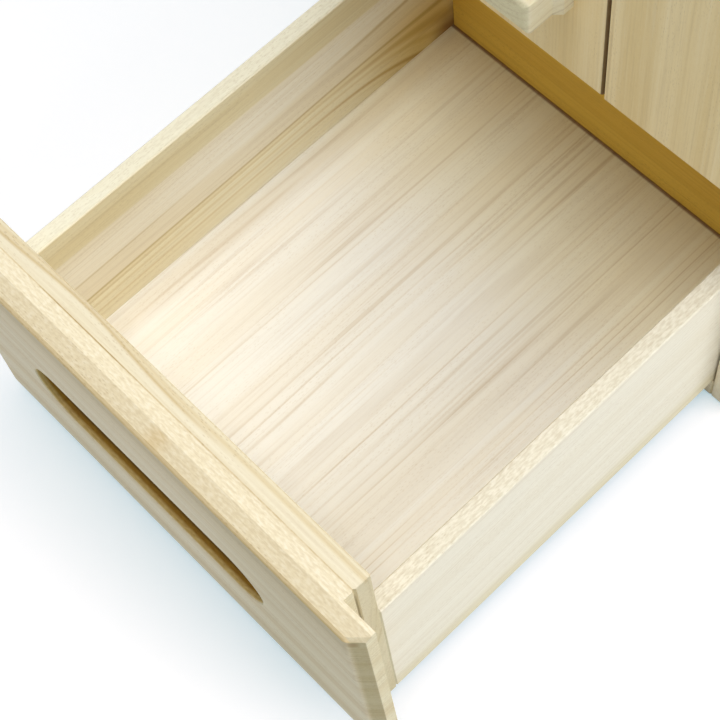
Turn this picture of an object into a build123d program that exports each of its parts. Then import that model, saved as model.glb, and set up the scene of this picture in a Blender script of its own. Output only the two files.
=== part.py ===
from build123d import *
import os

os.makedirs("parts", exist_ok=True)

# A pale wooden rice bin. A hopper fills the top, a measuring slide sits under its throat,
# and a drawer below catches each measure that the slide lets fall. The drawer stands pulled out.
# Lengths are millimetres. X runs to the right, Y to the back and Z up.
# The origin is the centre of the cabinet's base, on the surface that it stands on.

# Cabinet
cabinet_width = 248.0
cabinet_depth = 280.0
cabinet_height = 455.0
side_thickness = 15.0
back_thickness = 10.0
bottom_thickness = 12.5
stave_thickness = 12.0
stave_bottom = 155.0
edge_ease = 0.6

# Drawer
drawer_open = 207.0
drawer_side_gap = 0.8
drawer_run_gap = 0.4
drawer_board = 8.0
drawer_side_height = 98.0
drawer_inner_length = 242.0
drawer_floor_thickness = 6.0
drawer_floor_lift = 14.1
floor_groove_depth = 4.0
floor_groove_gap = 0.1

# Drawer front: a thick board that laps the cabinet's sides, on a thinner board behind
front_board_thickness = 15.0
front_top_gap = 2.0
front_lip_thickness = 10.0
front_close_gap = 0.3
front_corner_cut = 5.3
front_corner_soften = 4.0
front_arris_cut = 1.5
front_seam_ease = 0.9

# Finger pull: a slot through the thick front, a little left of centre, closed behind by the
# thin one
pull_length = 138.0
pull_height = 37.0
pull_offset = -6.5
pull_centre_height = 78.0
pull_ease = 0.8

# Countersunk screws
front_screw_length = 18.0
front_screw_shank = 3.5
front_screw_head = 7.0
front_screw_spacing = 160.0
front_screw_low = 45.0
front_screw_high = 127.0
knob_screw_length = 24.0
knob_screw_shank = 4.0
knob_screw_head = 8.0

# Measuring slide
pocket_width = 50.0
pocket_length = 60.0
pocket_height = 60.0
slide_wall = 6.0
slide_clearance = 0.4
slide_reach = 80.0
slide_travel = 70.0
slide_plate_width = 66.0
slide_plate_height = 93.0
slide_plate_gap = 1.2
slide_plate_seat = 0.3
slide_plate_ease = 2.2
slide_cover_thickness = 4.0
slide_cover_overlap = 6.0
tail_bar_height = 12.0
stop_peg_diameter = 6.0
stop_peg_height = 11.0
stop_peg_seat = 5.0

# Knob on the slide
knob_width = 30.0
knob_height = 16.0
knob_projection = 22.0
knob_centre_height = 206.0
knob_flare = 2.0
knob_foot_depth = 5.0
knob_flare_depth = 4.0
knob_ease = 2.5

# Shelf, guides and hopper
shelf_thickness = 8.0
outlet_margin = 2.0
guide_width = 12.0
hopper_floor_thickness = 6.0
throat_margin = 3.0
hopper_rise = 80.0
slope_thickness = 7.0

# Lid
lid_thickness = 10.0
lid_seat_gap = 0.3
lid_batten_width = 14.0
lid_batten_height = 10.0
lid_batten_gap = 4.0
lid_edge_ease = 1.5
grip_length = 90.0
grip_width = 18.0
grip_height = 16.0
grip_waist = 4.0

# Planes and faces worked out from the sizes above
front_plane = -cabinet_depth / 2
back_plane = cabinet_depth / 2
inner_half = cabinet_width / 2 - side_thickness
stave_back = front_plane + stave_thickness
back_face = back_plane - back_thickness

drawer_half = inner_half - drawer_side_gap
drawer_bottom = bottom_thickness + drawer_run_gap
drawer_top = drawer_bottom + drawer_side_height
drawer_front = front_plane - front_close_gap - front_lip_thickness - drawer_open
front_board_back = drawer_front + front_board_thickness
inner_front_back = front_board_back + drawer_board
drawer_back_face = inner_front_back + drawer_inner_length
drawer_end = drawer_back_face + drawer_board
front_board_top = stave_bottom - front_top_gap
floor_low = drawer_bottom + drawer_floor_lift
floor_high = floor_low + drawer_floor_thickness

shelf_top = stave_bottom + shelf_thickness
slide_low = shelf_top + slide_clearance
slide_high = slide_low + pocket_height
hopper_floor_low = slide_high + slide_clearance
hopper_floor_high = hopper_floor_low + hopper_floor_thickness
slope_top = hopper_floor_high + hopper_rise
slide_half = pocket_width / 2 + slide_wall
guide_inner = slide_half + slide_clearance
plate_back = stave_back - slide_plate_seat
pocket_front = stave_back + slide_reach
pocket_back = pocket_front + pocket_length
stop_peg_y = pocket_back + slide_wall + slide_clearance + stop_peg_diameter / 2
tail_front = stop_peg_y + stop_peg_diameter / 2 + slide_clearance + slide_travel
tail_back = tail_front + slide_wall
opening_half = slide_plate_width / 2 + slide_plate_gap
opening_top = stave_bottom + slide_plate_height + slide_plate_gap


def block(x0, x1, y0, y1, z0, z1):
    """A square-edged block between two corners."""
    return Pos((x0 + x1) / 2, (y0 + y1) / 2, (z0 + z1) / 2) * Box(x1 - x0, y1 - y0, z1 - z0)


def board(x0, x1, y0, y1, z0, z1, ease=edge_ease):
    """A board whose edges are all eased by a small chamfer."""
    solid = block(x0, x1, y0, y1, z0, z1)
    return chamfer(solid.edges(), ease)


def at_front(solid, y):
    """The edges of a solid that lie wholly in the plane across Y at y."""
    return solid.edges().filter_by_position(Axis.Y, y - 0.01, y + 0.01)


def countersunk_screw(x, y, z, length, shank, head):
    """A wood screw along -Y, its flat head's face at y: head cone, shank and a short point."""
    sink = (head - shank) / 2
    outline = Polyline(
        (0, 0),
        (head / 2, 0),
        (shank / 2, sink),
        (shank / 2, length - shank),
        (0, length),
        close=True,
    )
    turned = revolve(make_face(outline), Axis.Y)
    return Pos(x, y, z) * Rot(0, 0, 180) * turned


# Drawer


def front_screws():
    """Four screws through the thin front into the thick one, heads inside the drawer."""
    screws = []
    for x in (-front_screw_spacing / 2, front_screw_spacing / 2):
        for z in (front_screw_low, front_screw_high):
            screws.append(
                countersunk_screw(
                    x, inner_front_back, z, front_screw_length, front_screw_shank, front_screw_head
                )
            )
    return screws


def front_plan():
    """The thick front seen from above. The ends are cut back behind, so that only the lip in
    front laps the cabinet's sides, and the outer corners are cut off and softened."""
    half = cabinet_width / 2
    lip_back = drawer_front + front_lip_thickness
    inner = half - front_corner_cut
    right = [
        (inner, drawer_front),
        (half, drawer_front + front_corner_cut),
        (half, lip_back),
        (drawer_half, lip_back),
        (drawer_half, front_board_back),
    ]
    left = [(-x, y) for x, y in reversed(right)]
    face = make_face(Polyline(*right, *left, close=True))
    soft = [v for v in face.vertices() if abs(v.Y - drawer_front) < 0.01]
    return fillet(soft, front_corner_soften)


def finger_pull():
    """The round-ended slot for the fingers, through the thick front."""
    slot = Pos(pull_offset, front_board_back + 1, pull_centre_height) * Rot(90, 0, 0)
    return extrude(slot * SlotOverall(pull_length, pull_height), front_board_thickness + 2)


def drawer_front_board():
    """The thick front: its plan drawn up to its height, with eased arrises and the pull."""
    solid = extrude(Pos(0, 0, drawer_bottom) * front_plan(), front_board_top - drawer_bottom)
    straight = at_front(solid, drawer_front).filter_by(Axis.X)
    solid = chamfer(straight, front_arris_cut)
    seam_ends = solid.edges().filter_by(Axis.Z).group_by(Axis.Y)[-1]
    solid = chamfer(seam_ends, front_seam_ease)
    solid -= finger_pull()
    mouth = at_front(solid, drawer_front).filter_by(
        lambda e: abs(e.center().Z - pull_centre_height) < pull_height
    )
    solid = chamfer(mouth, pull_ease)
    for screw in front_screws():
        solid -= screw
    return solid


def floor_groove():
    """The space that the drawer floor and its running gap take up in the boards round it."""
    reach = drawer_half - drawer_board + floor_groove_depth
    return block(
        -reach,
        reach,
        inner_front_back - floor_groove_depth,
        drawer_back_face + floor_groove_depth,
        floor_low - floor_groove_gap,
        floor_high + floor_groove_gap,
    )


def drawer_inner_front():
    """The thin front of the drawer box, as tall as the thick one and as wide as the box. Its top
    meets the thick one in a tight seam, and the seam's ends are eased."""
    solid = block(
        -drawer_half, drawer_half, front_board_back, inner_front_back, drawer_bottom, front_board_top
    )
    solid = chamfer(at_front(solid, inner_front_back), edge_ease)
    seam_ends = solid.edges().filter_by(Axis.Z).group_by(Axis.Y)[0]
    solid = chamfer(seam_ends, front_seam_ease)
    solid -= floor_groove()
    for screw in front_screws():
        solid -= screw
    return solid


def drawer_side(side):
    """A drawer side, grooved for the floor. It butts against the thin front."""
    x0, x1 = sorted((side * (drawer_half - drawer_board), side * drawer_half))
    solid = board(x0, x1, inner_front_back, drawer_end, drawer_bottom, drawer_top)
    return solid - floor_groove()


def drawer_back():
    """The back of the drawer, set between its sides."""
    reach = drawer_half - drawer_board
    solid = board(-reach, reach, drawer_back_face, drawer_end, drawer_bottom, drawer_top)
    return solid - floor_groove()


def drawer_floor():
    """The drawer's floor board, held in grooves on all four sides."""
    reach = drawer_half - drawer_board + floor_groove_depth - floor_groove_gap
    return block(
        -reach,
        reach,
        inner_front_back - floor_groove_depth + floor_groove_gap,
        drawer_back_face + floor_groove_depth - floor_groove_gap,
        floor_low,
        floor_high,
    )


# Cabinet


def cabinet_side(side):
    """A cabinet side, from the base to the lid."""
    x0, x1 = sorted((side * inner_half, side * cabinet_width / 2))
    return board(x0, x1, front_plane, back_plane, 0, cabinet_height)


def back_panel():
    """The back, set between the sides."""
    return board(-inner_half, inner_half, back_face, back_plane, 0, cabinet_height)


def bottom_board():
    """The bottom, which the drawer slides on."""
    return board(-inner_half, inner_half, front_plane, back_face, 0, bottom_thickness)


def front_stave(side):
    """An upright board of the front, beside the measuring slide."""
    x0, x1 = sorted((side * opening_half, side * inner_half))
    return board(x0, x1, front_plane, stave_back, stave_bottom, cabinet_height)


def upper_stave():
    """The middle board of the front, above the measuring slide."""
    return board(-opening_half, opening_half, front_plane, stave_back, opening_top, cabinet_height)


def measuring_shelf():
    """The shelf that the slide runs on, with the outlet over the drawer and a hole for the peg."""
    solid = board(-inner_half, inner_half, stave_back, back_face, stave_bottom, shelf_top)
    outlet_half = pocket_width / 2 - outlet_margin
    solid -= block(
        -outlet_half,
        outlet_half,
        pocket_front - slide_travel + outlet_margin,
        pocket_back - slide_travel - outlet_margin,
        stave_bottom - 1,
        shelf_top + 1,
    )
    return solid - stop_peg()


def stop_peg():
    """A dowel in the shelf that stops the slide at the end of its travel."""
    length = stop_peg_seat + stop_peg_height
    peg = Cylinder(stop_peg_diameter / 2, length, align=(Align.CENTER, Align.CENTER, Align.MIN))
    peg = chamfer(peg.edges().group_by(Axis.Z)[-1], edge_ease)
    return Pos(0, stop_peg_y, shelf_top - stop_peg_seat) * peg


def slide_guide(side):
    """A batten beside the slide. It guides the slide and carries the hopper's floor."""
    x0, x1 = sorted((side * guide_inner, side * (guide_inner + guide_width)))
    return board(x0, x1, stave_back, back_face, shelf_top, hopper_floor_low)


def hopper_floor():
    """The board over the slide, with the throat over the slide's pocket."""
    solid = board(-inner_half, inner_half, stave_back, back_face, hopper_floor_low, hopper_floor_high)
    x0, x1, y0, y1 = throat()
    return solid - block(x0, x1, y0, y1, hopper_floor_low - 1, hopper_floor_high + 1)


def throat():
    """The throat's edges in plan, a little inside the pocket below it."""
    half = pocket_width / 2 - throat_margin
    return -half, half, pocket_front + throat_margin, pocket_back - throat_margin


def slope_section(near, far):
    """A slope's section: from the throat's edge at near up to the wall at far."""
    return make_face(
        Polyline(
            (near, hopper_floor_high),
            (far, slope_top),
            (far, slope_top - slope_thickness),
            (near, hopper_floor_high - slope_thickness),
            close=True,
        )
    )


def hopper_slope(name):
    """One of the four boards that slope down to the throat, mitred where it meets its neighbours."""
    x0, x1, y0, y1 = throat()
    corners, upright, near, far = {
        "front": (
            ((-inner_half, stave_back), (inner_half, stave_back), (x1, y0), (x0, y0)),
            Plane.YZ,
            y0,
            stave_back,
        ),
        "back": (
            ((inner_half, back_face), (-inner_half, back_face), (x0, y1), (x1, y1)),
            Plane.YZ,
            y1,
            back_face,
        ),
        "left": (
            ((-inner_half, back_face), (-inner_half, stave_back), (x0, y0), (x0, y1)),
            Plane.XZ,
            x0,
            -inner_half,
        ),
        "right": (
            ((inner_half, stave_back), (inner_half, back_face), (x1, y1), (x1, y0)),
            Plane.XZ,
            x1,
            inner_half,
        ),
    }[name]
    slab = extrude(upright * slope_section(near, far), cabinet_depth, both=True)
    outline = Pos(0, 0, hopper_floor_high) * make_face(Polyline(*corners, close=True))
    return slab & extrude(outline, hopper_rise)


# Measuring slide


def knob_screw():
    """The screw that holds the knob, its head let into the back of the plate."""
    return countersunk_screw(
        0, plate_back, knob_centre_height, knob_screw_length, knob_screw_shank, knob_screw_head
    )


def slide_plate():
    """The slide's front, flush with the boards round it, its outer edges rounded."""
    half = slide_plate_width / 2
    solid = block(-half, half, front_plane, plate_back, stave_bottom, stave_bottom + slide_plate_height)
    solid = fillet(at_front(solid, front_plane), slide_plate_ease)
    return solid - knob_screw()


def slide_side(side):
    """A long side of the slide, from the plate to the tail bar."""
    x0, x1 = sorted((side * pocket_width / 2, side * slide_half))
    return board(x0, x1, plate_back, tail_back, slide_low, slide_high)


def slide_cross_wall(y0):
    """A cross wall of the pocket."""
    half = pocket_width / 2
    return board(-half, half, y0, y0 + slide_wall, slide_low, slide_high)


def slide_cover():
    """The plate behind the pocket that shuts the throat while the slide is pulled out."""
    half = pocket_width / 2
    y0 = pocket_back + slide_wall
    y1 = pocket_back + slide_travel + slide_cover_overlap
    return board(-half, half, y0, y1, slide_high - slide_cover_thickness, slide_high)


def slide_tail_bar():
    """The low bar at the slide's tail, which meets the peg."""
    half = pocket_width / 2
    return board(-half, half, tail_front, tail_back, slide_low, slide_low + tail_bar_height)


def knob_section(y, grow):
    """The knob's outline across Y at y, grown by the same amount all round."""
    outline = Rectangle(knob_width + 2 * grow, knob_height + 2 * grow)
    return Pos(0, y, knob_centre_height) * Rot(90, 0, 0) * outline


def knob():
    """The knob: a wide block with eased front edges that flares out to its foot on the plate."""
    tip = front_plane - knob_projection
    foot = front_plane - knob_foot_depth
    neck = foot - knob_flare_depth
    solid = extrude(knob_section(neck, 0), neck - tip)
    solid = fillet(at_front(solid, tip), knob_ease)
    solid += loft([knob_section(neck, 0), knob_section(foot, knob_flare)], ruled=True)
    solid += extrude(knob_section(front_plane, knob_flare), knob_foot_depth)
    return solid - knob_screw()


# Lid

lid_low = cabinet_height + lid_seat_gap
lid_high = lid_low + lid_thickness


def lid_board():
    """The lift-off lid, flush with the cabinet's outside."""
    half = cabinet_width / 2
    solid = block(-half, half, front_plane, back_plane, lid_low, lid_high)
    return fillet(solid.edges().group_by(Axis.Z)[-1], lid_edge_ease)


def lid_batten(y0):
    """A batten under the lid that drops inside the cabinet and keeps the lid in place."""
    half = inner_half - lid_batten_gap
    return board(-half, half, y0, y0 + lid_batten_width, lid_low - lid_batten_height, lid_low)


def lid_grip():
    """The grip on the lid, a bar hollowed along both sides for the fingers."""
    solid = block(
        -grip_length / 2, grip_length / 2, -grip_width / 2, grip_width / 2, lid_high, lid_high + grip_height
    )
    hollow_radius = grip_height / 2
    for side in (-1, 1):
        centre = side * (grip_width / 2 + hollow_radius - grip_waist)
        cove = Pos(0, centre, lid_high + grip_height * 0.4) * Rot(0, 90, 0)
        solid -= cove * Cylinder(hollow_radius, grip_length + 2)
    return fillet(solid.edges().group_by(Axis.Z)[-1], edge_ease * 2)


parts = {
    "drawer_front_board": drawer_front_board(),
    "drawer_inner_front": drawer_inner_front(),
    "drawer_left_side": drawer_side(-1),
    "drawer_right_side": drawer_side(1),
    "drawer_back": drawer_back(),
    "drawer_floor": drawer_floor(),
    "drawer_front_screws": Compound(front_screws()),
    "cabinet_left_side": cabinet_side(-1),
    "cabinet_right_side": cabinet_side(1),
    "cabinet_back": back_panel(),
    "cabinet_bottom": bottom_board(),
    "front_left_stave": front_stave(-1),
    "front_right_stave": front_stave(1),
    "front_upper_stave": upper_stave(),
    "measuring_shelf": measuring_shelf(),
    "slide_stop_peg": stop_peg(),
    "slide_left_guide": slide_guide(-1),
    "slide_right_guide": slide_guide(1),
    "hopper_floor": hopper_floor(),
    "slide_plate": slide_plate(),
    "slide_left_side": slide_side(-1),
    "slide_right_side": slide_side(1),
    "pocket_front_wall": slide_cross_wall(pocket_front - slide_wall),
    "pocket_back_wall": slide_cross_wall(pocket_back),
    "slide_cover": slide_cover(),
    "slide_tail_bar": slide_tail_bar(),
    "slide_knob": knob(),
    "knob_screw": knob_screw(),
    "lid_board": lid_board(),
    "lid_front_batten": lid_batten(stave_back + lid_batten_gap),
    "lid_back_batten": lid_batten(back_face - lid_batten_gap - lid_batten_width),
    "lid_grip": lid_grip(),
}
for slope in ("front", "back", "left", "right"):
    parts["hopper_" + slope + "_slope"] = hopper_slope(slope)

for name, solid in parts.items():
    export_step(solid, "parts/" + name + ".step")
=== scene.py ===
import math

import bpy
from mathutils import Matrix, Vector

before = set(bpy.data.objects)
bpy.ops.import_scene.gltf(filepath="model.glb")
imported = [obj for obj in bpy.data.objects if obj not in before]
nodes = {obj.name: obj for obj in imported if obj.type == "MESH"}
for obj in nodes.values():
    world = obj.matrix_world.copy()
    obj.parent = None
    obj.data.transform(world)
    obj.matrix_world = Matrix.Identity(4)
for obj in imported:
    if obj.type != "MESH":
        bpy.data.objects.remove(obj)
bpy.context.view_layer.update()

# A pale wooden rice bin in bare paulownia, its catch drawer pulled out.
# Metres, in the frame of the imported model: X right, Y back, Z up, the base at Z = 0.
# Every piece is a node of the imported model. What this script adds is the finish of each board.

scene = bpy.context.scene


def linear(code):
    """An sRGB hex colour as the linear colour that a shader takes."""
    levels = [int(code[i:i + 2], 16) / 255 for i in (0, 2, 4)]
    return (*[v / 12.92 if v <= 0.04045 else ((v + 0.055) / 1.055) ** 2.4 for v in levels], 1.0)


def add(tree, kind, inputs=(), out=0, **settings):
    """Adds a node with its settings, sets or links its inputs, and returns one of its outputs.
    Inputs come in the node's own order, or by name or number."""
    made = tree.nodes.new("ShaderNode" + kind)
    for name, value in settings.items():
        setattr(made, name, value)
    for key, value in inputs.items() if isinstance(inputs, dict) else enumerate(inputs):
        if isinstance(value, bpy.types.NodeSocket):
            tree.links.new(value, made.inputs[key])
        else:
            made.inputs[key].default_value = value
    return made.outputs[out] if made.outputs else None


def empty_tree(holder):
    """The node tree of a new material or world, with nothing in it."""
    holder.use_nodes = True
    holder.node_tree.nodes.clear()
    return holder.node_tree


# Bare paulownia: pale, soft, planed and finely sanded, with no coat on it. It is drawn as the
# inside of a log: growth rings round a pith that lies along the grain, so that each face of a
# board shows the lines, flames or arcs that its cut would. Places are in mm: a and b are across
# the grain, in the order of the axes, and w is along it.

grain_order = {"x": (1, 2, 0), "y": (0, 2, 1), "z": (0, 1, 2)}

# How far each pattern reaches across the grain, in a and b, and along it.
stray_reach = (35, 35, 190)
streak_reach = (3, 3, 150)
fibre_reach = (0.9, 0.9, 60)
fleck_reach = (0.9, 0.9, 3)
pore_reach = (0.8, 0.8, 2.6)
band_reach = 17

raised_fibre = linear("FFF8EA")
pore_brown = linear("B09468")
end_grain_shade = linear("EDEEE6")


def cells(reach):
    """The scale of a pattern whose cells have this reach in mm."""
    return tuple(1 / length for length in reach)


def paulownia(board, number, grain, pith, ring, pale="F0E4C8", tan="DEC9A0", line="A88A5E",
              bands=0.6, lines=0.6, width=2.0, wander=2.0, uneven=0.8, pores=0.35,
              streaks=0.1, flecks=0.035, slant=0.0, strips=None, knots=(), tones=()):
    """The wood of one board. grain is the axis along the fibres, pith the centre of the rings as
    (a, b), and ring the width of a year's growth. number starts the chance in it. width is that
    of the dark line that ends a year, wander how far the rings stray, and uneven how much the
    years differ. lines, bands, streaks, flecks and pores are how strongly each of these shows.
    slant is how far b climbs for each mm along w. strips is (a or b, joints) for a board glued
    up from strips. Each of knots is (a or b, its place there, its place along w, swelling,
    spread along w, spread across): a knot close by, which bends the lines round it. tones are
    (colour, amount, {axis: (low, high, softness)}) for stretches with a tone of their own, and for
    painted shade. Their axes are x, y and z, or a and b as they stray and bend with the rings."""
    wood = bpy.data.materials.new("bare_paulownia_" + board)
    tree = empty_tree(wood)
    shared = add(tree, "TexCoord", out="Object").node.outputs
    point = add(tree, "VectorMath", [shared["Object"], (1000.0,) * 3], operation="MULTIPLY")
    sides = add(tree, "SeparateXYZ", [point]).node.outputs
    places = dict(zip("xyz", sides))
    a, b, w = (sides[i] for i in grain_order[grain])
    log = add(tree, "CombineXYZ", [a, b, w])

    # In a glued-up board each strip has a pith and a tone of its own.
    pith_a, pith_b, strip_tone = pith[0], pith[1], 0.5
    if strips:
        strip = number + 0.37
        for joint in strips[1]:
            past = add(tree, "Math", [{"a": a, "b": b}[strips[0]], joint], operation="GREATER_THAN")
            strip = add(tree, "Math", [past, strip], operation="ADD")
        chance = add(tree, "TexWhiteNoise", {"W": strip}, "Color", noise_dimensions="1D")
        chances = add(tree, "SeparateColor", [chance]).node.outputs
        pith_a = add(tree, "Math", [chances[0], 90.0, pith[0] - 45.0], operation="MULTIPLY_ADD")
        pith_b = add(tree, "Math", [chances[1], 90.0, pith[1] - 45.0], operation="MULTIPLY_ADD")
        strip_tone = chances[2]

    b = add(tree, "Math", [w, -slant, b], operation="MULTIPLY_ADD")

    # A knot lifts the rings by its swelling times e to the minus square of how far off it is.
    for side, across, along, swelling, spread_w, spread_across in knots:
        lifted = {"a": a, "b": b}[side]
        far_w = add(tree, "Math", [w, 1 / spread_w, -along / spread_w], operation="MULTIPLY_ADD")
        far = add(tree, "Math", [lifted, 1 / spread_across, -across / spread_across],
                  operation="MULTIPLY_ADD")
        far = add(tree, "Math", [far, far], operation="MULTIPLY")
        far = add(tree, "Math", [far_w, far_w, far], operation="MULTIPLY_ADD")
        near = add(tree, "Math", [math.exp(-1), far], operation="POWER")
        lifted = add(tree, "Math", [near, -swelling, lifted], operation="MULTIPLY_ADD")
        a, b = (lifted, b) if side == "a" else (a, lifted)

    # The rings stray slowly, over some 35 mm across and 190 mm along.
    slow = add(tree, "VectorMath", [log, cells(stray_reach),
                                    (number * 3.1, number * 1.7, number * 2.3)],
               operation="MULTIPLY_ADD")
    stray = add(tree, "TexNoise", {"Vector": slow, "Scale": 1.0, "Detail": 2.0}, "Color")
    stray = add(tree, "VectorMath", [stray, (0.5, 0.5, 0.5)], operation="SUBTRACT")
    bent = add(tree, "VectorMath", [stray, (2 * wander, 2 * wander, 0.0),
                                    add(tree, "CombineXYZ", [a, b])], operation="MULTIPLY_ADD")
    bent_sides = add(tree, "SeparateXYZ", [bent]).node.outputs
    places.update(a=bent_sides[0], b=bent_sides[1])
    from_pith = add(tree, "VectorMath", [bent, add(tree, "CombineXYZ", [pith_a, pith_b])],
                    operation="SUBTRACT")
    radius = add(tree, "VectorMath", [from_pith], "Value", operation="LENGTH")

    # Years of unlike width: the count of rings is bent by a slow wave in the radius.
    slowly = add(tree, "Math", [radius, 1 / (2.5 * ring), number], operation="MULTIPLY_ADD")
    slowly = add(tree, "TexNoise", {"W": slowly, "Scale": 1.0, "Detail": 0.0},
                 noise_dimensions="1D")
    count = add(tree, "Math", [radius, ring], operation="DIVIDE")
    count = add(tree, "Math", [slowly, 2 * uneven, count], operation="MULTIPLY_ADD")
    phase = add(tree, "Math", [count], operation="FRACT")
    year = add(tree, "Math", [add(tree, "Math", [count], operation="FLOOR"), number + 0.5],
               operation="ADD")
    strength = add(tree, "TexWhiteNoise", {"W": year}, noise_dimensions="1D")

    # End grain faces along the fibres, soaks up light and shows its rings more.
    facing = add(tree, "SeparateXYZ", [shared["Normal"]]).node.outputs
    facing_a, facing_b, facing_w = (facing[i] for i in grain_order[grain])
    facing_w = add(tree, "Math", [facing_w], operation="ABSOLUTE")
    end = add(tree, "MapRange", [facing_w, 0.35, 0.75], interpolation_type="SMOOTHSTEP")

    # A year's growth darkens slowly outwards and ends in a thin dark line, which comes and goes.
    late = add(tree, "MapRange", [phase, 0.25, 1.0], interpolation_type="SMOOTHSTEP")
    peak = 1 - 0.3 * width / ring
    edge = add(tree, "MapRange", [phase, 1 - width / ring, peak], interpolation_type="SMOOTHSTEP")
    fall = add(tree, "MapRange", [phase, 1.0, peak], interpolation_type="SMOOTHSTEP")
    edge = add(tree, "Math", [edge, fall], operation="MULTIPLY")
    coming = add(tree, "TexNoise", {"Vector": slow, "Scale": 2.4, "Detail": 1.0})
    coming = add(tree, "MapRange", [coming, 0.34, 0.60, 0.25, 1.0], interpolation_type="SMOOTHSTEP")
    strength = add(tree, "Math", [strength, strength], operation="MULTIPLY")
    strength = add(tree, "Math", [strength, 0.85 * lines, 0.15 * lines], operation="MULTIPLY_ADD")
    strength = add(tree, "Math", [strength, coming], operation="MULTIPLY")
    end_boost = add(tree, "Math", [end, 0.5, 1.0], operation="MULTIPLY_ADD")
    strength = add(tree, "Math", [strength, end_boost], operation="MULTIPLY", use_clamp=True)
    edge = add(tree, "Math", [edge, strength], operation="MULTIPLY")

    # Broad bands of tone run with the rings.
    band = add(tree, "Math", [radius, 1 / band_reach, number * 5.0], operation="MULTIPLY_ADD")
    band = add(tree, "TexNoise", {"W": band, "Scale": 1.0, "Detail": 2.0}, noise_dimensions="1D")
    band = add(tree, "MapRange", [band, 0.35, 0.68], interpolation_type="SMOOTHSTEP")
    band = add(tree, "Math", [strip_tone, 0.5, band], operation="MULTIPLY_ADD")
    band = add(tree, "Math", [band, bands, -0.25 * bands], operation="MULTIPLY_ADD", use_clamp=True)

    # Soft brown streaks 1 to 2 mm across and some 150 mm long.
    streak = add(tree, "VectorMath", [log, cells(streak_reach)], operation="MULTIPLY")
    streak = add(tree, "TexNoise", {"Vector": streak, "Scale": 1.0, "Detail": 1.5})
    streak = add(tree, "MapRange", [streak, 0.55, 0.72, 0.0, streaks],
                 interpolation_type="SMOOTHSTEP")

    # Fibres some 60 mm long, drawn 0.9 mm across, a little coarser than real ones.
    fibre = add(tree, "VectorMath", [log, cells(fibre_reach)], operation="MULTIPLY")
    fibre = add(tree, "TexNoise", {"Vector": fibre, "Scale": 1.0, "Detail": 3.0, "Roughness": 0.6})
    dark_fibre = add(tree, "MapRange", [fibre, 0.48, 0.72, 0.0, 0.12],
                     interpolation_type="SMOOTHSTEP")
    light_fibre = add(tree, "MapRange", [fibre, 0.50, 0.25, 0.0, 0.15],
                      interpolation_type="SMOOTHSTEP")

    # Sanding leaves short fibres standing in flecks of about 1 by 3 mm, light and dark. They
    # show most where the face lies along the rings, so that it faces away from the pith.
    outward = add(tree, "VectorMath", [from_pith], operation="NORMALIZE")
    along_rings = add(tree, "VectorMath", [outward, add(tree, "CombineXYZ", [facing_a, facing_b])],
                      "Value", operation="DOT_PRODUCT")
    along_rings = add(tree, "Math", [along_rings, along_rings], operation="MULTIPLY")
    roughed = add(tree, "Math", [along_rings, 2.2 * flecks, 0.4 * flecks],
                  operation="MULTIPLY_ADD")
    fleck = add(tree, "VectorMath", [log, cells(fleck_reach)], operation="MULTIPLY")
    fleck = add(tree, "TexNoise", {"Vector": fleck, "Scale": 1.0, "Detail": 2.0})
    dark_fleck = add(tree, "MapRange", [fleck, 0.48, 0.66], interpolation_type="SMOOTHSTEP")
    dark_fleck = add(tree, "Math", [dark_fleck, roughed], operation="MULTIPLY")
    light_fleck = add(tree, "MapRange", [fleck, 0.52, 0.34, 0.0, 2.5],
                      interpolation_type="SMOOTHSTEP")
    light_fleck = add(tree, "Math", [light_fleck, roughed], operation="MULTIPLY")

    # Vessels: open pores 0.3 mm across, cut along their length on a face and across on an end.
    # They are drawn in cells of 0.8 by 2.6 mm, and crowd together in patches.
    pore = add(tree, "VectorMath", [stray, (2.0, 2.0, 0.0), log], operation="MULTIPLY_ADD")
    pore = add(tree, "VectorMath", [pore, cells(pore_reach)], operation="MULTIPLY")
    pore = add(tree, "TexVoronoi", {"Vector": pore, "Scale": 1.0}, "Distance")
    pore = add(tree, "MapRange", [pore, 0.36, 0.12, 0.0, pores], interpolation_type="SMOOTHSTEP")
    crowd = add(tree, "TexNoise", {"Vector": slow, "Scale": 2.6, "Detail": 1.0})
    crowd = add(tree, "MapRange", [crowd, 0.42, 0.60, 0.25, 1.0], interpolation_type="SMOOTHSTEP")
    pore = add(tree, "Math", [pore, crowd], operation="MULTIPLY")

    colour = add(tree, "Mix", {0: band, 6: linear(pale), 7: linear(tan)}, 2, data_type="RGBA")
    late = add(tree, "Math", [late, 0.25 * bands], operation="MULTIPLY")
    colour = add(tree, "Mix", {0: late, 6: colour, 7: linear(tan)}, 2, data_type="RGBA")
    colour = add(tree, "Mix", {0: edge, 6: colour, 7: linear(line)}, 2, data_type="RGBA")
    colour = add(tree, "Mix", {0: streak, 6: colour, 7: linear(line)}, 2, data_type="RGBA")
    colour = add(tree, "Mix", {0: dark_fibre, 6: colour, 7: linear(line)}, 2, data_type="RGBA")
    colour = add(tree, "Mix", {0: light_fibre, 6: colour, 7: raised_fibre}, 2, data_type="RGBA")
    colour = add(tree, "Mix", {0: dark_fleck, 6: colour, 7: linear(line)}, 2, data_type="RGBA")
    colour = add(tree, "Mix", {0: light_fleck, 6: colour, 7: raised_fibre}, 2, data_type="RGBA")
    colour = add(tree, "Mix", {0: pore, 6: colour, 7: pore_brown}, 2, data_type="RGBA")
    colour = add(tree, "Mix", {0: end, 6: colour, 7: end_grain_shade}, 2, data_type="RGBA",
                 blend_type="MULTIPLY")
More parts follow.
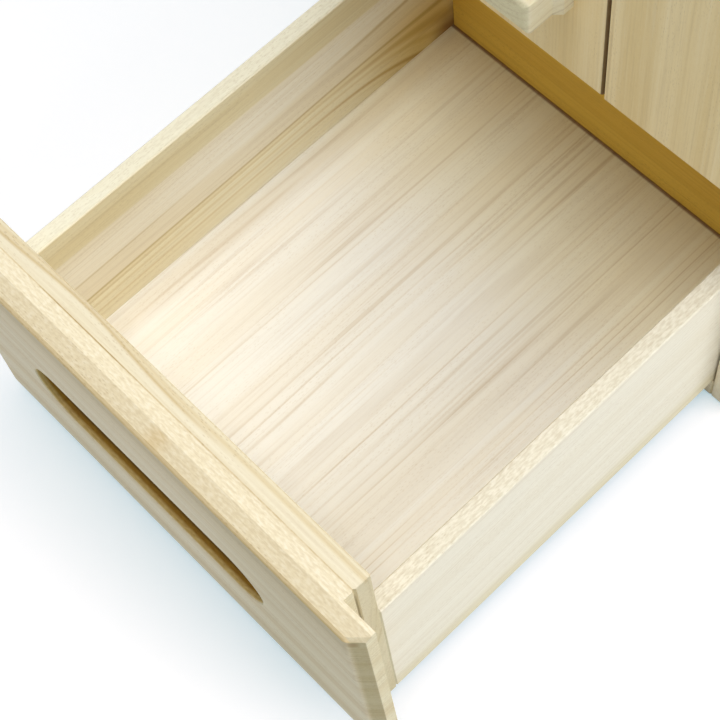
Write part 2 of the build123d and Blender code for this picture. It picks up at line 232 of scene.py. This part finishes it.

    # Stretches with a tone of their own: sapwood, a stain, a glue line; and painted shade in
    # hollows and corners.
    for tone, amount, limits in tones:
        inside = amount
        for axis, (low, high, softness) in limits.items():
            past_low = add(tree, "MapRange", [places[axis], low - softness, low + softness],
                           interpolation_type="SMOOTHSTEP")
            past_high = add(tree, "MapRange", [places[axis], high + softness, high - softness],
                            interpolation_type="SMOOTHSTEP")
            inside = add(tree, "Math", [inside, past_low], operation="MULTIPLY")
            inside = add(tree, "Math", [inside, past_high], operation="MULTIPLY")
        colour = add(tree, "Mix", {0: inside, 6: colour, 7: linear(tone)}, 2, data_type="RGBA",
                     blend_type="MULTIPLY")

    height = add(tree, "Math", [fibre, 0.5], operation="MULTIPLY")
    height = add(tree, "Math", [fleck, -0.5, height], operation="MULTIPLY_ADD")
    height = add(tree, "Math", [height, pore], operation="SUBTRACT")
    bump = add(tree, "Bump", {"Strength": 0.4, "Distance": 0.0002, "Height": height})
    surface = add(tree, "BsdfPrincipled", {"Base Color": colour, "Roughness": 0.62, "IOR": 1.5,
                                           "Specular IOR Level": 0.28, "Normal": bump})
    add(tree, "OutputMaterial", [surface])
    return wood


# Zinc-plated steel, drawn and plated: a bright grey with a faint cloud to its gloss.


def zinc_plated_steel():
    """The screws' finish. The cloud is about 1 mm across."""
    steel = bpy.data.materials.new("zinc_plated_steel")
    tree = empty_tree(steel)
    place = add(tree, "TexCoord", out="Object")
    cloud = add(tree, "TexNoise", {"Vector": place, "Scale": 900.0, "Detail": 3.0})
    gloss = add(tree, "MapRange", [cloud, 0.3, 0.7, 0.28, 0.45])
    tone = add(tree, "Mix", {0: cloud, 6: linear("B9BAB6"), 7: linear("D3D2C8")}, 2,
               data_type="RGBA")
    surface = add(tree, "BsdfPrincipled", {"Base Color": tone, "Metallic": 1.0, "Roughness": gloss})
    add(tree, "OutputMaterial", [surface])
    return steel


def dress(node, material):
    """Gives a CAD node its finish."""
    slots = nodes[node].data.materials
    slots.clear()
    slots.append(material)


# Tones of single boards. First come the stretches of a face that they share, in mm.

front_face = {"y": (-370.0, -356.8, 0.3)}
front_top = {"z": (151.0, 160.0, 1.0)}
inner_front_top = {"z": (150.0, 160.0, 1.0)}
cut_corner = {"y": (-360.0, -352.1, 0.2)}
drawer_right_end = {"x": (107.2, 110.0, 0.2)}
below_top = {"z": (0.0, 145.0, 5.0)}
glue_line = {"y": (-342.8, -341.0, 0.2)}
pull_walls = {"x": (-82.0, 70.0, 1.0), "z": (55.0, 101.0, 1.0)}
left_face = {"x": (-101.5, -95.0, 0.3)}
back_face = {"y": (-95.0, -91.6, 0.2)}

front_tones = [
    # The top is a little darker outside the rebate's line.
    ("EBE8E2", 1.0, {"y": (-355.7, -349.2, 0.25), **front_top}),
    ("F5EAD4", 1.0, {"y": (-370.0, -355.7, 0.25), "z": (151.3, 160.0, 0.3)}),
    ("F0E4CC", 0.6, {"x": (12.5, 20.5, 3.5), "y": (-356.0, -349.6, 0.5), "z": (148.0, 160.0, 2.0)}),
    # The face is darker towards the top and the right.
    ("F0EDE6", 1.0, {"z": (137.0, 170.0, 8.0), **front_face}),
    ("F4F2EC", 1.0, {"z": (145.0, 170.0, 4.0), **front_face}),
    ("F1F2EE", 1.0, {"x": (48.0, 200.0, 35.0), **front_face}),
    # The corners that are cut off.
    ("D3D0BE", 1.0, {"x": (119.6, 130.0, 1.2), "z": (0.0, 151.6, 0.4), **cut_corner}),
    ("D8C6A8", 0.8, {"x": (119.0, 122.0, 1.0), "z": (146.5, 151.0, 1.2), **cut_corner}),
    # The glue line to the board behind, along the top and down the right end.
    ("C8B48C", 0.7, {"x": (-60.0, -8.0, 12.0), "z": (149.0, 160.0, 1.0), **glue_line}),
    ("E0D2B2", 0.6, {"z": (149.0, 160.0, 1.0), **glue_line}),
    ("9A885E", 0.5, {"y": (-342.7, -341.0, 0.2), **drawer_right_end, **below_top}),
    # Painted shade: the walls of the finger pull are darkened brown, more so further in, where the
    # recess is in shade.
    ("E6D5A0", 1.0, {"y": (-356.85, -341.0, 0.1), **pull_walls}),
    ("C2A544", 1.0, {"y": (-354.95, -341.0, 0.7), **pull_walls}),
    ("BCBC9C", 1.0, {"y": (-353.2, -341.0, 0.6), **pull_walls}),
]

# The board behind has the same glue line at its right end, a paler end and two darker years.
inner_front_tones = [
    ("84714A", 0.5, {"y": (-343.0, -341.8, 0.2), **drawer_right_end, **below_top}),
    ("F4F2EE", 1.0, {"x": (107.9, 110.0, 0.2)}),
    ("DAC8A0", 0.8, {"a": (-339.0, -337.8, 0.8), "x": (-130.0, 28.0, 20.0), **inner_front_top}),
    ("EADEC2", 0.6, {"a": (-337.4, -336.0, 0.9), **inner_front_top}),
]

# The left side's inner face has a darker edge along the top and lines that run out to a knot near
# its back. Towards that back corner, under the cabinet, it carries painted shade in brown.
left_side_tones = [
    ("F2EEE6", 1.0, {"y": (-400.0, -250.0, 45.0), "z": (0.0, 110.6, 0.2), **left_face}),
    ("F3EFDB", 1.0, {"z": (92.0, 110.5, 0.8), **left_face}),
    ("FFFDF0", 1.0, {"b": (-20.0, 62.6, 0.8), **left_face}),
    ("F7F7F0", 1.0, {"z": (110.7, 112.0, 0.15)}),
    ("D2C298", 0.7, {"b": (75.7, 76.7, 0.8), "y": (-340.0, -255.0, 35.0), **left_face}),
    ("CDBB8C", 0.7, {"b": (75.0, 77.0, 1.2), "y": (-160.0, -80.0, 25.0), **left_face}),
    ("CBB98E", 0.8, {"b": (61.8, 62.9, 0.8), **left_face}),
    ("DCCDA6", 0.6, {"b": (58.6, 59.8, 1.0), **left_face}),
    ("E0D0AA", 0.6, {"b": (54.0, 55.6, 1.2), **left_face}),
    ("DCC79A", 0.6, {"b": (48.2, 49.4, 1.0), **left_face}),
    ("D2B97E", 0.7, {"b": (57.4, 58.8, 1.2), "y": (-165.0, -80.0, 25.0), **left_face}),
    ("D2B97E", 0.7, {"b": (48.0, 49.6, 1.4), "y": (-175.0, -80.0, 30.0), **left_face}),
    # Painted shade: darker and browner towards the back corner, where the cabinet shades it.
    ("E2CC80", 0.8, {"y": (-135.0, -80.0, 25.0), "z": (20.0, 70.0, 20.0), **left_face}),
    ("9A6E30", 0.8, {"y": (-103.0, -80.0, 7.0), "z": (20.0, 42.0, 9.0), **left_face}),
]

# The right side is a little yellower along its foot and darker on its top.
right_side_tones = [
    ("F5F1E0", 0.9, {"x": (107.9, 110.0, 0.2), "z": (0.0, 24.0, 9.0)}),
    ("FAFAFA", 1.0, {"z": (110.6, 112.0, 0.2)}),
]

# Painted shade: the floor darkens towards the back and where it meets the back board, the back
# board darkens along its foot, and the back's inner face is painted the ochre of its shade.
floor_tones = [
    # Painted shade: a little darker towards the back, which the cabinet shades.
    ("FFFAE6", 1.0, {"y": (-170.0, -60.0, 40.0)}),
    # Painted shade along the joint with the back board.
    ("8A5A20", 0.8, {"y": (-93.6, -80.0, 0.6)}),
]
back_tones = [
    # Painted shade: the back's inner face takes the ochre of its shade.
    ("F2D368", 1.0, {"z": (0.0, 111.5, 0.3), **back_face}),
    # Painted shade along its foot, where it meets the floor.
    ("8A5A20", 0.8, {"z": (0.0, 33.8, 0.6), **back_face}),
]

# Painted shade: the slide plate's right arris is darkened, as shade falls in the narrow gap beside
# it.
plate_tones = [("6A5430", 0.9, {"x": (32.25, 35.0, 0.12), "y": (-142.0, -136.9, 0.5)})]

# The staves of the cabinet's front and the slide plate are cut from one plainer log, warmer in
# tone; part of that warmth is painted light, the warm light bounced up from the drawer.
pale_stave = dict(pale="FAE6B8", tan="EAD096", lines=0.25, streaks=0.03, pores=0.2)

# The boards: name, grain, pith (a, b) and ring width in mm, and what else differs.
boards = {
    "drawer_front_board": ("x", (-350.0, 205.0), 2.8,
                           dict(wander=1.5, lines=0.2, flecks=0.05, tones=front_tones)),
    "drawer_inner_front": ("x", (-600.0, 150.0), 3.6,
                           dict(wander=1.2, width=1.4, pale="EADFC6", tan="E2D3AE", lines=0.2,
                                knots=[("a", -338.0, -43.0, 3.0, 34.0, 12.0)],
                                tones=inner_front_tones)),
    "drawer_left_side": ("y", (-100.0, -400.0), 5.0,
                         dict(wander=1.2, uneven=0.5, pale="FBF6E8", tan="F0E4C8", lines=0.12,
                              pores=0.2, slant=0.02,
                              knots=[("b", 30.0, -80.0, -22.0, 55.0, 26.0),
                                     ("b", 80.0, -60.0, 6.0, 90.0, 22.0)],
                              tones=left_side_tones)),
    "drawer_right_side": ("y", (108.0, -300.0), 16.0,
                          dict(wander=4.0, lines=0.1, bands=0.3, pores=0.25, flecks=0.06,
                               pale="EBE4D2", tan="E1D6BE", tones=right_side_tones)),
    "drawer_back": ("x", (-92.0, 220.0), 10.0, dict(lines=0.2, tones=back_tones)),
    "drawer_floor": ("y", (-420.0, 30.0), 7.0,
                     dict(wander=2.5, width=2.2, uneven=1.4, pale="F8F6F2", tan="F0E6D4",
                          line="AC8A54", lines=0.4, bands=0.35, pores=0.15, streaks=0.22,
                          tones=floor_tones)),
    "cabinet_left_side": ("z", (-160.0, 0.0), 9.0, dict(strips=("b", [-72.0, 5.0, 70.0]))),
    "cabinet_right_side": ("z", (170.0, 0.0), 9.0, dict(strips=("b", [-66.0, 0.0, 74.0]))),
    "cabinet_back": ("z", (0.0, 170.0), 9.0, dict(strips=("a", [-52.0, 8.0, 60.0]))),
    "cabinet_bottom": ("x", (0.0, -40.0), 9.0, dict(strips=("a", [-60.0, 10.0, 80.0]))),
    "front_left_stave": ("z", (-300.0, 60.0), 14.0, pale_stave),
    "front_right_stave": ("z", (-300.0, -140.0), 16.0, pale_stave),
    "front_upper_stave": ("z", (-200.0, -140.0), 12.0, pale_stave),
    "measuring_shelf": ("x", (0.0, 80.0), 9.0, dict(strips=("a", [-40.0, 50.0]))),
    "slide_left_guide": ("y", (-60.0, 140.0), 7.0, {}),
    "slide_right_guide": ("y", (60.0, 260.0), 7.0, {}),
    "hopper_floor": ("x", (0.0, 160.0), 9.0, dict(strips=("a", [-30.0, 55.0]))),
    "hopper_front_slope": ("x", (-120.0, 150.0), 8.0, {}),
    "hopper_back_slope": ("x", (90.0, 140.0), 8.0, {}),
    "hopper_left_slope": ("y", (-90.0, 150.0), 8.0, {}),
    "hopper_right_slope": ("y", (95.0, 140.0), 8.0, {}),
    "slide_plate": ("z", (-200.0, -140.0), 14.0, dict(**pale_stave, tones=plate_tones)),
    "slide_left_side": ("y", (-30.0, 100.0), 7.0, {}),
    "slide_right_side": ("y", (30.0, 300.0), 7.0, {}),
    "pocket_front_wall": ("x", (-50.0, 100.0), 6.0, {}),
    "pocket_back_wall": ("x", (10.0, 300.0), 6.0, {}),
    "slide_cover": ("y", (0.0, 300.0), 6.0, {}),
    "slide_tail_bar": ("x", (98.0, 100.0), 5.0, {}),
    "slide_knob": ("y", (0.0, 230.0), 4.0, dict(pale="F8F0D4", tan="EBDDB8")),
    "slide_stop_peg": ("z", (0.0, 30.0), 3.0, dict(tan="C9A46C")),
    "lid_board": ("y", (0.0, 520.0), 9.0, dict(strips=("a", [-60.0, 2.0, 66.0]))),
    "lid_front_batten": ("x", (-118.0, 500.0), 6.0, {}),
    "lid_back_batten": ("x", (119.0, 400.0), 6.0, {}),
    "lid_grip": ("x", (0.0, 505.0), 5.0, {}),
}
for number, (board, (grain, pith, ring, more)) in enumerate(boards.items(), 1):
    dress(board, paulownia(board, number, grain, pith, ring, **more))
steel = zinc_plated_steel()
dress("drawer_front_screws", steel)
dress("knob_screw", steel)


# Camera: placed and aimed by the photograph's vanishing lines.

camera_turn = 55.327
camera_height = 65.832
camera_roll = -10.178
focal_pixels = 1729.6
frame_pixels = 720
centre_pixels = (380, 432)
camera_place = Vector((0.27797, -0.43758, 0.71094))

turn, lift, roll = (math.radians(v) for v in (camera_turn, camera_height, camera_roll))
back = Vector((math.sin(turn) * math.cos(lift), -math.cos(turn) * math.cos(lift), math.sin(lift)))
level_right = (-back).cross(Vector((0, 0, 1))).normalized()
level_up = level_right.cross(-back)
right = math.cos(roll) * level_right + math.sin(roll) * level_up
up = -math.sin(roll) * level_right + math.cos(roll) * level_up
axes = Matrix((right, up, back)).transposed()

camera_data = bpy.data.cameras.new("camera")
camera_data.sensor_width = 36.0
camera_data.lens = focal_pixels / frame_pixels * camera_data.sensor_width
camera_data.shift_x = (frame_pixels / 2 - centre_pixels[0]) / frame_pixels
camera_data.shift_y = (centre_pixels[1] - frame_pixels / 2) / frame_pixels
camera_data.clip_start = 0.01
camera = bpy.data.objects.new("camera", camera_data)
camera.matrix_world = Matrix.Translation(camera_place) @ axes.to_4x4()
scene.collection.objects.link(camera)
scene.camera = camera


# Floor, light and background: white studio paper that runs into a white backdrop, one large
# soft light over the drawer and one from the right.


def seen_rays(tree):
    """1 for rays that see the backdrop: the camera's, and those by way of gloss or glass."""
    rays = add(tree, "LightPath").node.outputs
    mirrored = add(tree, "Math", [rays["Is Glossy Ray"], rays["Is Transmission Ray"]],
                   operation="MAXIMUM")
    return add(tree, "Math", [rays["Is Camera Ray"], mirrored], operation="MAXIMUM")


# How far from the bin the paper begins to run into white, and how far off it is all white.
shade_end = 0.9
white_start = 1.6


def studio_paper():
    """Matt white paper. It is seen white where lit and faintly blue in shade, and further from
    the bin it runs into white."""
    paper = bpy.data.materials.new("matt_white_studio_paper")
    tree = empty_tree(paper)
    lighting = add(tree, "BsdfDiffuse", {"Color": linear("E3E6E9")})
    shaded = add(tree, "BsdfDiffuse", {"Color": linear("F8DAD4")})
    glow = add(tree, "Emission", {"Color": linear("7FACB9"), "Strength": 1.0})
    seen = add(tree, "AddShader", [shaded, glow])
    place = add(tree, "TexCoord", out="Object")
    away = add(tree, "VectorMath", [place], "Value", operation="LENGTH")
    away = add(tree, "MapRange", [away, shade_end, white_start], interpolation_type="SMOOTHSTEP")
    white = add(tree, "Emission", {"Color": linear("FFFFFF"), "Strength": 1.0})
    seen = add(tree, "MixShader", [away, seen, white])
    surface = add(tree, "MixShader", [seen_rays(tree), lighting, seen])
    add(tree, "OutputMaterial", [surface])
    return paper


floor_reach = 4.0
floor_height = -0.0003
floor_corners = [(x, y, floor_height) for x, y in ((-floor_reach, -floor_reach),
                                                   (floor_reach, -floor_reach),
                                                   (floor_reach, floor_reach),
                                                   (-floor_reach, floor_reach))]
floor_mesh = bpy.data.meshes.new("floor")
floor_mesh.from_pydata(floor_corners, [], [(0, 1, 2, 3)])
floor_mesh.materials.append(studio_paper())
floor = bpy.data.objects.new("floor", floor_mesh)
scene.collection.objects.link(floor)

scene.world = bpy.data.worlds.new("studio")
sky = empty_tree(scene.world)
soft = add(sky, "Background", [linear("F3FCFF"), 0.40])
white = add(sky, "Background", [linear("FFFFFF"), 1.0])
add(sky, "OutputWorld", [add(sky, "MixShader", [seen_rays(sky), soft, white])])


def softbox(name, place, aim, size, watts, colour):
    """A square lamp of a given size, aimed at a point."""
    box = bpy.data.lights.new(name, "AREA")
    box.shape = "SQUARE"
    box.size = size
    box.energy = watts
    box.color = linear(colour)[:3]
    lamp = bpy.data.objects.new(name, box)
    lamp.location = place
    lamp.rotation_euler = (Vector(aim) - Vector(place)).to_track_quat("-Z", "Y").to_euler()
    scene.collection.objects.link(lamp)


softbox("overhead", (0.0, -0.25, 1.7), (0.0, -0.15, 0.05), 1.0, 15.2, "FFFBF3")
softbox("side", (1.5, 0.40, 1.0), (0.0, -0.15, 0.1), 1.2, 17.5, "FBFDFF")

scene.view_settings.view_transform = "Standard"
